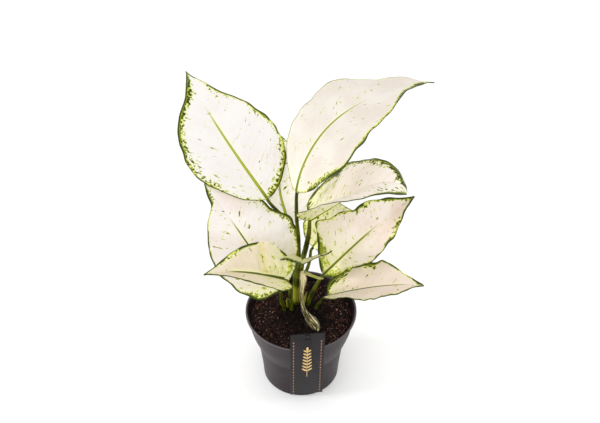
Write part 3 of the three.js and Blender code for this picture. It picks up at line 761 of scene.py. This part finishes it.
def spline(route, t):
    """A point and direction of the smooth curve through a route, with the radius or width there."""
    last = len(route) - 1
    k = min(int(t * last), last - 1)
    part = t * last - k
    points = [Vector(p[:3]) for p in route]
    before = points[k - 1] if k > 0 else points[0] * 2 - points[1]
    after = points[k + 2] if k + 2 <= last else points[last] * 2 - points[last - 1]
    p = [before, points[k], points[k + 1], after]
    gaps = [max(1e-4, (p[i + 1] - p[i]).length) ** 0.5 for i in range(3)]
    steps = [(p[i + 1] - p[i]) / gaps[i] for i in range(3)]
    leave = (steps[0] - (p[2] - p[0]) / (gaps[0] + gaps[1]) + steps[1]) * gaps[1]
    reach = (steps[1] - (p[3] - p[1]) / (gaps[1] + gaps[2]) + steps[2]) * gaps[1]
    cubic = 2 * p[1] - 2 * p[2] + leave + reach
    square = 3 * p[2] - 3 * p[1] - 2 * leave - reach
    place = p[1] + leave * part + square * part ** 2 + cubic * part ** 3
    heading = (leave + 2 * square * part + 3 * cubic * part ** 2).normalized()
    return place, heading, route[k][3] + (route[k + 1][3] - route[k][3]) * part


def hanging_leaf():
    """Its upper part faces the front, its lower part lies on the soil, and its tip is turned."""
    bpy.ops.mesh.primitive_grid_add(x_subdivisions=90, y_subdivisions=14, size=2)
    piece = bpy.context.object
    last = len(HANGING) - 1
    length = sum((Vector(a[:3]) - Vector(b[:3])).length for a, b in zip(HANGING, HANGING[1:]))
    places, shares = [], []
    for vertex in piece.data.vertices:
        t, v = (vertex.co.x + 1) / 2, vertex.co.y
        centre, along, half = spline(HANGING, t)
        level = Vector((0, 0, 1)).cross(along).normalized()
        side = Vector((1, 0, 0)).lerp(level, min(1, max(0, t * last - 4)))
        side = (side - along * side.dot(along)).normalized()
        up = along.cross(side).normalized()
        ease = min(1, max(0, (t - 0.55) / 0.35))
        turn = Quaternion(along, radians(HANGING_TURN) * ease * ease * (3 - 2 * ease))
        side, up = turn @ side, turn @ up
        crease = 0.55 * half * abs(v) ** 1.5 + 0.18 * cos(11 * v) * min(1, half / 4)
        vertex.co = (centre + side * v * half + up * crease) * MM
        places.append((v * half, t * length, (1 - abs(v)) * half))
        shares.append(t)
    thicken(piece, places, shares, thickness=HANGING_THICK * MM)
    settle(piece, "blade_drooping", old_leaf_finish(), "leaf", "leaf_drooping")


def old_leaf_finish():
    """Dry cream above, striped and flecked with brown-green toward the tip."""
    f = Finish("tissue_drooping")
    across, along, edge = f.split(f.attribute("blade_mm"))
    share, _, _ = f.split(f.attribute("blade_share"))
    stripe = f.noise(f.join(across * 0.9, along * 0.05, 2.0), 1.0, 3.0, 0.65)
    fleck = f.noise(f.join(across * 1.2, along * 0.45, 5.0), 1.0, 2.0, 0.6)
    f.colour = f.mix(f.rise(stripe, 0.35, 0.62), tone(246, 226, 192), tone(218, 202, 134))
    older = f.rise(share, 0.18, 0.5)
    streaked = f.rise(share, 0.02, 0.2)
    f.paint(f.rise(stripe + older * 0.14, 0.50, 0.58) * streaked * 0.85, tone(152, 142, 44))
    f.paint(f.rise(stripe + older * 0.14, 0.58, 0.64), tone(50, 46, 8))
    f.paint(f.rise(fleck + older * 0.08, 0.64, 0.70) * 0.9, tone(42, 34, 16))
    f.paint(f.fall(edge, 0.15, 0.7) * 0.85, tone(70, 62, 34))
    return f.surface(0.5, f.bump(stripe, 0.4, 0.8), Specular_IOR_Level=0.4)


# Stalks, with the same routes as the solids: points (x, y, z, radius)
SEAT_GAP = 0.1
SEAT_DEPTH = 1.225


def seat(name, radius, run_in):
    """The last two points of a petiole's route, which meet the base of its blade end to end."""
    point, along, _, up = midrib(LEAVES[name])[0]
    end = point - up * SEAT_DEPTH - along * SEAT_GAP
    before = end - along * run_in
    return [(*before, radius), (*end, radius)]


CANE = [
    (-4.5, 18, 62, 4.4), (-4.5, 18, 84, 4.4), (-4.5, 18, 92, 4.6), (-4.4, 18, 112, 4.6),
    (-3.4, 17.5, 130, 5.2), (-1.6, 16.5, 143, 5), (-0.8, 16, 151, 3.4),
]
BRANCHES = [
    [(-2, 18.5, 136, 2), (-3.6, 25, 152, 2), (-7.6, 34, 169, 1.9), (-12.6, 40.5, 185, 1.9),
     (-22.2, 40, 196, 1.8), *seat("upper_left", 1.7, 4)],
    [(-1.6, 17.5, 140, 2.2), (-2.2, 21, 159, 2.1), (-2.7, 24, 177, 2.1), (-4.2, 21, 200, 2),
     (-4.7, 16, 224, 1.9), *seat("upper_right", 1.7, 5)],
    [(-0.6, 16.5, 141, 3), (1, 16, 150, 3), (4.4, 16, 166, 2.9), (8, 17, 188, 2.5),
     *seat("right_upper", 1.6, 2)],
    [(-3.8, 19, 116, 1.8), (1, 22, 120, 1.7), (6.2, 28, 126, 2), (9.6, 38, 132, 1.9),
     *seat("back_right", 1.6, 4)],
    [(-3.2, 19, 126, 1.8), (-5, 24, 143, 1.6), (-8, 37, 159, 1.5), *seat("back_left", 1.4, 4)],
    [(-1.5, 15, 138, 1.8), (1.5, 11.8, 145, 1.6), *seat("young", 1.3, 3)],
]
PETIOLES = {
    "petiole_mid_left": [(-18.5, 6, 64, 2.2), (-18.5, 6, 85, 2.2), (-18.7, 5.2, 93, 2.2), (-20.8, -3, 108, 2),
                         *seat("mid_left", 1.8, 4)],
    "petiole_low_left": [(-10.5, 7.5, 64, 2.2), (-10.5, 7.5, 85, 2.2), (-10.7, 6.7, 94, 2.1),
                         (-11.7, -1, 122, 1.8), (-13, -14, 146, 1.6), *seat("low_left", 1.5, 4)],
    "petiole_right_mid": [(8, 15, 64, 2.6), (8, 15, 85, 2.6), (8.6, 15, 93, 2.6), (13, 14.2, 107, 2.4),
                          *seat("right_mid", 1.8, 5)],
    "petiole_right_low": [(16.5, 8, 64, 1.7), (16.5, 8, 85, 1.7), (17.1, 6.4, 92, 1.7),
                          (20.4, -1.5, 106, 1.5), *seat("right_low", 1.2, 4)],
}
SHEATH = [
    (1.5, 13, 138, 2.2), (6, 10.6, 137.2, 1.8), (12.5, 9.6, 134.6, 1.6), (19, 9.6, 131.4, 1.6),
    (23.8, 10.4, 130.2, 0.9),
]
SHOOTS = {
    "shoot_left": [(-14.6, 11.5, 68, 1.5), (-14.6, 11.5, 84, 1.5), (-14.7, 11.2, 90, 1.4), (-15, 10, 96, 1.1),
                   (-15.2, 9, 102, 0.4)],
    "shoot_right": [(2.5, 12.5, 66, 1.7), (2.5, 12.5, 84, 1.7), (2.8, 12.2, 90, 1.6), (4.4, 11, 100, 1.3),
                    (6.2, 9.5, 110, 0.5)],
}


def stalk(route, sides=20, rings=48, channel=0.12):
    """A cylinder cut into rings and drawn along a route, with a shallow channel down one side."""
    bpy.ops.mesh.primitive_cylinder_add(vertices=sides, radius=1, depth=2, end_fill_type="NGON")
    piece = bpy.context.object
    deselect_points()
    mesh = piece.data
    for edge in mesh.edges:
        a, b = (mesh.vertices[i].co.z for i in edge.vertices)
        edge.select = abs(a - b) > 1
    mode("EDIT")
    bpy.ops.mesh.select_mode(type="EDGE")
    bpy.ops.mesh.subdivide(number_cuts=rings - 1)
    mode("OBJECT")
    tracks = [spline(route, i / rings) for i in range(rings + 1)]
    sideways = Vector((1, 0, 0))
    frames = []
    for centre, along, radius in tracks:
        sideways = (sideways - along * sideways.dot(along)).normalized()
        frames.append((centre, sideways, along.cross(sideways), radius))
    for vertex in mesh.vertices:
        k = round((vertex.co.z + 1) / 2 * rings)
        centre, first, second, radius = frames[k]
        around = atan2(vertex.co.y, vertex.co.x)
        deep = channel * exp(-(((around - pi / 2 + pi) % (2 * pi) - pi) / 0.5) ** 2)
        reach = radius * (1 - deep) * vertex.co.xy.length
        vertex.co = (centre + first * reach * cos(around) + second * reach * sin(around)) * MM
    return piece


def join(pieces):
    deselect()
    for piece in pieces:
        piece.select_set(True)
    bpy.context.view_layer.objects.active = pieces[0]
    bpy.ops.object.join()
    return pieces[0]


def stem_main():
    """The cane with its petioles, melted together so that each leaves it from a soft sheath."""
    parts = [stalk(CANE, sides=28, rings=60, channel=0)]
    parts += [stalk(route, channel=0.1) for route in BRANCHES]
    whole = join(parts)
    apply(whole, "REMESH", mode="VOXEL", voxel_size=0.42 * MM)
    apply(whole, "SMOOTH", factor=0.5, iterations=5)
    smooth(whole, 60)
    skin = stem_finish("skin_cane", STEM_DARK, STEM_LIGHT, STEM_PALE, 96, (92, 112))
    settle(whole, "cane", skin, "stem", "stem_main")


def petioles():
    skin = stem_finish("skin_petiole", STEM_DARK, STEM_LIGHT, STEM_PALE, 104)
    for name, route in PETIOLES.items():
        piece = stalk(route)
        smooth(piece, 60)
        settle(piece, "stalk_" + name.removeprefix("petiole_"), skin, "stem", name)
    pale = stem_finish("skin_shoot", STEM_LIGHT, STEM_PALE, SHOOT_TIP, 98)
    for name, route in SHOOTS.items():
        piece = stalk(route, channel=0.2)
        smooth(piece, 60)
        settle(piece, "young_" + name, pale, "shoot", name)
    sheath = stalk(SHEATH, channel=0.45)
    smooth(sheath, 60)
    settle(sheath, "leaf_sheath", stem_finish("skin_sheath", STEM_PALE, SHOOT_TIP, SHOOT_TIP, 98), "shoot")


# Pot: outer wall (radius, height) up from the stand ring, and an inner wall one thickness inside it
POT_SIDES = 128
WALL = 1.4
POT_WALL = [(43, 12), (44.8, 30), (46.2, 42), (47, 49), (47.8, 51.6), (53.5, 68), (56.5, 82), (58.6, 92)]
POT_HEIGHT = 95
RIM_RADIUS = 60
# Under the pot, up from its centre pad: the hollow round the pad, and the stand ring. Then its rim.
FOOT = [(14, 0), (14, 2.5), (34, 2.5), (34, 0), (41.4, 0), (42.4, 1.2)]
RIM = [
    (RIM_RADIUS - 0.2, 92.5), (RIM_RADIUS, 92.8), (RIM_RADIUS, 94.4), (59.5, POT_HEIGHT), (58.3, POT_HEIGHT),
]
FLOOR_TOP = 4
FLOOR_EDGE = 41
DRAIN_COUNT = 6
DRAIN_RADIUS = 4
DRAIN_CIRCLE = 24


def turned(rings, sides):
    """A closed turned shape: a filled circle drawn through rings of (radius, height) and filled again."""
    radius, height = rings[0]
    bpy.ops.mesh.primitive_circle_add(vertices=sides, radius=radius * MM, fill_type="NGON")
    piece = bpy.context.object
    piece.location.z = height * MM
    bpy.ops.object.transform_apply()
    mode("EDIT")
    bpy.ops.mesh.select_mode(type="EDGE")
    bpy.ops.mesh.select_all(action="SELECT")
    for (r0, z0), (r1, z1) in zip(rings, rings[1:]):
        bpy.ops.mesh.extrude_edges_move(TRANSFORM_OT_translate={"value": (0, 0, (z1 - z0) * MM)})
        bpy.ops.transform.resize(value=(r1 / r0, r1 / r0, 1), center_override=(0, 0, 0))
    bpy.ops.mesh.edge_face_add()
    bpy.ops.mesh.select_all(action="SELECT")
    bpy.ops.mesh.normals_make_consistent(inside=False)
    mode("OBJECT")
    return piece


def soft_profile(points, cuts):
    """The same profile with more points, on a smooth curve through the given ones."""
    route = [(r, 0, z, 0) for r, z in points]
    count = (len(points) - 1) * cuts
    places = [spline(route, i / count)[0] for i in range(count + 1)]
    return [(p.x, p.z) for p in places]


def pot():
    """The turned pot, with drain holes through its floor and softened edges."""
    outside = soft_profile(POT_WALL, 3)
    inside = [(r - WALL, z) for r, z in reversed(outside)]
    piece = turned([*FOOT, *outside, *RIM, *inside, (FLOOR_EDGE, FLOOR_TOP)], POT_SIDES)
    drills = []
    for i in range(DRAIN_COUNT):
        angle = (i + 0.5) / DRAIN_COUNT * 2 * pi
        bpy.ops.mesh.primitive_cylinder_add(vertices=32, radius=DRAIN_RADIUS * MM, depth=10 * MM)
        drills.append(bpy.context.object)
        drills[-1].location = Vector((DRAIN_CIRCLE * cos(angle), DRAIN_CIRCLE * sin(angle), 3)) * MM
    cut(piece, join(drills))
    soften(piece, 0.3, 3, 32)
    smooth(piece, 40)
    settle(piece, "nursery_pot", pot_finish(), "pot", "pot")


# Soil
SOIL_GAP = 0.3
SOIL_EDGE = 84.5
# Loose bits of the soil: how many, the seed of their places, how often their ball is cut, how deep and how
# finely it is dented, and how they spread, under 0.5 toward the rim. size is the least, a random share more,
# and the power of that share. long and high are its stretch. inside is the distance from the wall and lift
# the height over the soil, first by the size, then in mm. The second of the two heaps takes bright's share.
CRUMBS = dict(
    count=900, seed=11, cuts=2, dents=(0.45, 1.7), spread=0.5, size=(0.45, 1.5, 2.5), long=(0.8, 1.5),
    high=(0.5, 0.9), inside=(1.3, 0.3), lift=(0.15, 0), bright=0.35,
    heaps=(("crumbs_dark", "crumb_dark", tone(12, 8, 7), tone(46, 33, 28)),
           ("crumbs_red", "crumb_red", tone(44, 25, 20), tone(92, 60, 46))),
)
CHIPS = dict(
    count=1150, seed=23, cuts=1, dents=(0.7, 2.3), spread=0.38, size=(0.28, 0.47, 1), long=(0.8, 1.9),
    high=(0.4, 0.8), inside=(0, 1.2), lift=(0, 0.3), bright=0.3,
    heaps=(("chips_red", "chip_red", tone(74, 38, 30), tone(124, 75, 60)),
           ("chips_pale", "chip_pale", tone(112, 84, 78), tone(178, 148, 140))),
)
FIBRES = 60
FIBRE = [(-1, 0, 0, 0.06), (-0.4, 0.15, 0.12, 0.07), (0.3, -0.1, 0.1, 0.07), (1, 0.1, -0.05, 0.04)]


def lump(x, y):
    r = hypot(x, y) / 55
    grain = 1.2 * sin(0.31 * x + 1.3) * sin(0.37 * y + 0.4)
    grain += 0.8 * sin(0.73 * x - 0.52 * y) + 0.4 * sin(1.1 * y + 0.9 * x + 2)
    return 1.6 * (1 - r * r) + grain * (1 - r ** 6)


def soil_top(x, y):
    r = hypot(x, y) / 55
    rough = noise.fractal(Vector((x, y, 4.0)) * 0.35, 0.8, 2.1, 4)
    return SOIL_EDGE + lump(x, y) + rough * 1.1 * max(0, 1 - r ** 10)


def soil():
    inner = [(r - WALL - SOIL_GAP, z) for r, z in soft_profile(POT_WALL, 3) if z < SOIL_EDGE]
    low, high = POT_WALL[-2:]
    part = (SOIL_EDGE - low[1]) / (high[1] - low[1])
    edge = low[0] + part * (high[0] - low[0]) - WALL - SOIL_GAP
    rings = [(40.6, FLOOR_TOP + SOIL_GAP), *inner, (edge, SOIL_EDGE)]
    count = 64
    rings += [(edge * (1 - (i + 0.5) / count), SOIL_EDGE) for i in range(count)]
    piece = turned(rings, 180)
    for vertex in piece.data.vertices:
        x, y, z = vertex.co / MM
        if z > SOIL_EDGE - 0.01 and hypot(x, y) < edge - 0.01:
            vertex.co.z = soil_top(x, y) * MM
    smooth(piece, 60)
    settle(piece, "peat", soil_finish("peat", tone(12, 7, 6), tone(42, 27, 22)), "soil", "soil")
    return edge


def clear_of_stems(x, y, room):
    feet = [CANE[0], *(route[0] for route in (*PETIOLES.values(), *SHOOTS.values()))]
    return all(hypot(x - foot[0], y - foot[1]) > foot[3] + room for foot in feet)


def gather(name, template, places, material, slot):
    """One piece of many small copies of a shape, each with its own mesh, place, turn and size."""
    copies = []
    for place in places:
        twin = template.copy()
        twin.data = template.data.copy()
        twin.data.transform(place)
        bpy.context.scene.collection.objects.link(twin)
        copies.append(twin)
    whole = join(copies)
    smooth(whole, 40)
    settle(whole, name, material, slot)


def somewhere(dice, edge, spread):
    """A random place on the soil, inside a circle."""
    r, angle = edge * dice.random() ** spread, dice.uniform(0, 2 * pi)
    return r, r * cos(angle), r * sin(angle)


def scatter(edge, bits):
    """Rough little balls, turned and stretched at random, half sunk in the soil's top."""
    dice = random.Random(bits["seed"])
    bpy.ops.mesh.primitive_ico_sphere_add(subdivisions=bits["cuts"], radius=1)
    ball = bpy.context.object
    deep, pitch = bits["dents"]
    for vertex in ball.data.vertices:
        vertex.co *= 1 + deep * noise.noise(vertex.co * pitch)
    (inside, inside_mm), (lift, lift_mm) = bits["inside"], bits["lift"]
    least, more, power = bits["size"]
    heaps = ([], [])
    while len(heaps[0]) + len(heaps[1]) < bits["count"]:
        r, x, y = somewhere(dice, edge, bits["spread"])
        size = least + more * dice.random() ** power
        if r > edge - size * inside - inside_mm or not clear_of_stems(x, y, size):
            continue
        spin = Quaternion([dice.gauss(0, 1) for _ in range(4)]).normalized()
        long, high = dice.uniform(*bits["long"]), dice.uniform(*bits["high"])
        stretch = Matrix.Diagonal((size * MM * long, size * MM, size * MM * high, 1))
        place = Vector((x, y, soil_top(x, y) + size * lift + lift_mm)) * MM
        heap = heaps[dice.random() < bits["bright"]]
        heap.append(Matrix.Translation(place) @ spin.to_matrix().to_4x4() @ stretch)
    for heap, (name, skin, dark, light) in zip(heaps, bits["heaps"]):
        gather(name, ball, heap, soil_finish(skin, dark, light), "soil")
    bpy.data.objects.remove(ball)


def fibres(edge):
    """Thin coir fibres that lie on the soil."""
    dice = random.Random(5)
    strand = stalk(FIBRE, 6, 9, 0)
    places = []
    while len(places) < FIBRES:
        r, x, y = somewhere(dice, edge, 0.5)
        size = dice.uniform(1.6, 4.2)
        if r > edge - size - 1 or not clear_of_stems(x, y, size):
            continue
        turn = Matrix.Rotation(dice.uniform(0, pi), 4, "Z")
        turn = turn @ Matrix.Rotation(dice.uniform(-0.35, 0.35), 4, "Y")
        place = Matrix.Translation(Vector((x, y, soil_top(x, y) + 0.5)) * MM)
        places.append(place @ turn @ Matrix.Scale(size, 4))
    gather("fibres", strand, places, soil_finish("fibre", tone(78, 52, 36), tone(128, 98, 74)), "soil")
    bpy.data.objects.remove(strand)


# Label: a card that leans on the outside of the rim, with a strip over its top down into the soil
LABEL_TURN = 6
LABEL_WIDTH = 35
LABEL_THICK = 0.8
LABEL_TOP = 125
LABEL_BOTTOM = 20
LABEL_FRONT = -61.4
LABEL_LEAN = 5
STRIP_WIDTH = 5
SLOT_ROOM = 0.6
SLOT_TOP = 122.5
SLOT_BOTTOM = 116
HOOK_OUTSIDE = [(-64.2, 123.4), (-63.8, 125.6), (-62, 127.4), (-59.6, 127.4), (-57.9, 126.4)]
STRIP_DOWN = [(-57.2, 124.5), (-56, 97), (-54.4, 88), (-47.2, 62)]


def card_matrix():
    """From the card's own plane, x across and y up from the rim's height, to its place on the pot."""
    lean = Matrix.Rotation(radians(90 + LABEL_LEAN), 4, "X")
    reach = Matrix.Translation((0, LABEL_FRONT * MM, POT_HEIGHT * MM))
    return Matrix.Rotation(radians(LABEL_TURN), 4, "Z") @ reach @ lean


def slab(wide, high, deep, low):
    """A flat block in the card's plane, up from that height over the table."""
    bpy.ops.mesh.primitive_cube_add(size=1)
    block = bpy.context.object
    block.data.transform(Matrix.Diagonal((wide * MM, high * MM, deep * MM, 1)))
    block.data.transform(Matrix.Translation((0, (low + high / 2 - POT_HEIGHT) * MM, 0)))
    return block


def label_card():
    """The card with its slot, leant against the rim."""
    card = slab(LABEL_WIDTH, LABEL_TOP - LABEL_BOTTOM, LABEL_THICK, LABEL_BOTTOM)
    cut(card, slab(STRIP_WIDTH + SLOT_ROOM, SLOT_TOP - SLOT_BOTTOM, 6, SLOT_BOTTOM))
    soften(card, 0.18, 2, 30)
    card.data.transform(card_matrix())
    return card


def label_strip():
    """One edge drawn out along the strip's route over the top, thickened inward."""
    route = [*HOOK_OUTSIDE, *STRIP_DOWN]
    bpy.ops.mesh.primitive_plane_add(size=STRIP_WIDTH * MM)
    strip = bpy.context.object
    mesh = strip.data
    start, then = (Vector((0, y * MM, z * MM)) for y, z in route[:2])
    for vertex in mesh.vertices:
        end = start if vertex.co.y < 0 else then
        vertex.co.yz = end.yz
    deselect_points()
    for vertex in mesh.vertices:
        vertex.select = (vertex.co - then).yz.length < 1e-6
    mode("EDIT")
    for (y0, z0), (y1, z1) in zip(route[1:], route[2:]):
        bpy.ops.mesh.extrude_edges_move(TRANSFORM_OT_translate={"value": (0, (y1 - y0) * MM, (z1 - z0) * MM)})
    bpy.ops.mesh.select_all(action="SELECT")
    bpy.ops.mesh.normals_make_consistent(inside=False)
    mode("OBJECT")
    if max(mesh.polygons, key=lambda face: face.center.z).normal.z < 0:
        mesh.flip_normals()
    mesh.transform(Matrix.Rotation(radians(LABEL_TURN), 4, "Z"))
    apply(strip, "SOLIDIFY", thickness=LABEL_THICK * MM, offset=-1, use_even_offset=True)
    soften(strip, 0.12, 2, 40)
    return strip


def foil_shape(sides):
    """A flat bit of foil, one millimetre across, with a softened edge."""
    bpy.ops.mesh.primitive_cylinder_add(vertices=sides, radius=0.5 * MM, depth=0.1 * MM)
    bit = bpy.context.object
    soften(bit, 0.03, 1, 40)
    return bit


def print_on_card(name, bit, places, material):
    """Foil bits on the card's face: each place is x, y, width, height and turn."""
    flat = card_matrix() @ Matrix.Translation((0, 0, (LABEL_THICK / 2 + 0.02) * MM))
    spots = []
    for x, y, wide, high, turn in places:
        spin = Matrix.Rotation(radians(turn), 4, "Z")
        move = Matrix.Translation((x * MM, y * MM, 0))
        spots.append(flat @ move @ spin @ Matrix.Diagonal((wide, high, 1, 1)))
    gather(name, bit, spots, material, "label")


# The print, in mm in the card's plane: a sprig whose leaves shorten upward, and a border of diamonds and dots
SPRIG_LOW = -42
SPRIG_HIGH = 2
SPRIG_PAIRS = 7
SPRIG_STEM = (0.7, 3.2)
SPRIG_TIP = (2.4, 6.4)
LEAF_WIDE = 2.1
LEAF_LONG = 7.2
LEAF_SHORTER = 0.35
LEAF_TURN = 48
BORDER_SIDE = 14.2
BORDER_TOP = 17
BORDER_PITCH = 5.1
BORDER_COUNT = 18
DIAMOND = (1.9, 2.6)
DOT = (0.8, 0.9)


def label():
    card = join([label_card(), label_strip()])
    smooth(card, 40)
    settle(card, "card", label_finish(), "label", "plant_label")
    sprig = [(0, y, *SPRIG_STEM, 0) for y in range(SPRIG_LOW, SPRIG_HIGH, 2)]
    sprig.append((0, SPRIG_HIGH + SPRIG_TIP[1] / 2, *SPRIG_TIP, 0))
    for i in range(SPRIG_PAIRS):
        y = SPRIG_LOW + 9 + i * (SPRIG_HIGH - SPRIG_LOW - 11) / (SPRIG_PAIRS - 1)
        long = LEAF_LONG - i * LEAF_SHORTER
        for side in (-1, 1):
            sprig.append((side * long * 0.38, y + long * 0.30, LEAF_WIDE, long, -side * LEAF_TURN))
    border = []
    for i in range(BORDER_COUNT):
        y = BORDER_TOP - i * BORDER_PITCH
        for side in (-BORDER_SIDE, BORDER_SIDE):
            border += [(side, y, *DIAMOND, 0), (side, y - BORDER_PITCH / 2, *DOT, 0)]
    gold = foil_finish("gold_foil", tone(206, 168, 98), tone(240, 212, 150))
    copper = foil_finish("copper_foil", tone(140, 98, 78), tone(186, 142, 116))
    round_bit, diamond = foil_shape(16), foil_shape(4)
    print_on_card("sprig_print", round_bit, sprig, gold)
    print_on_card("border_print", diamond, border, copper)
    bpy.data.objects.remove(round_bit)
    bpy.data.objects.remove(diamond)


# The plain floor lies a hair below the pot
FLOOR_WHITE = tone(252, 252, 252)
FLOOR_GAP = 0.0002


def floor():
    bpy.ops.mesh.primitive_plane_add(size=FLOOR_SIZE, location=(0, 0, -FLOOR_GAP))
    ground = bpy.context.object
    ground.name = "studio_floor"
    f = Finish("floor_paint")
    f.colour = FLOOR_WHITE
    ground.data.materials.append(f.surface(0.9, Specular_IOR_Level=0.1))


place_camera()
light_studio()
floor()
for number, (leaf_name, leaf_values) in enumerate(LEAVES.items()):
    blade(leaf_name, leaf_values, number + 1.0)
hanging_leaf()
stem_main()
petioles()
pot()
soil_edge = soil()
scatter(soil_edge, CRUMBS)
scatter(soil_edge, CHIPS)
fibres(soil_edge)
label()
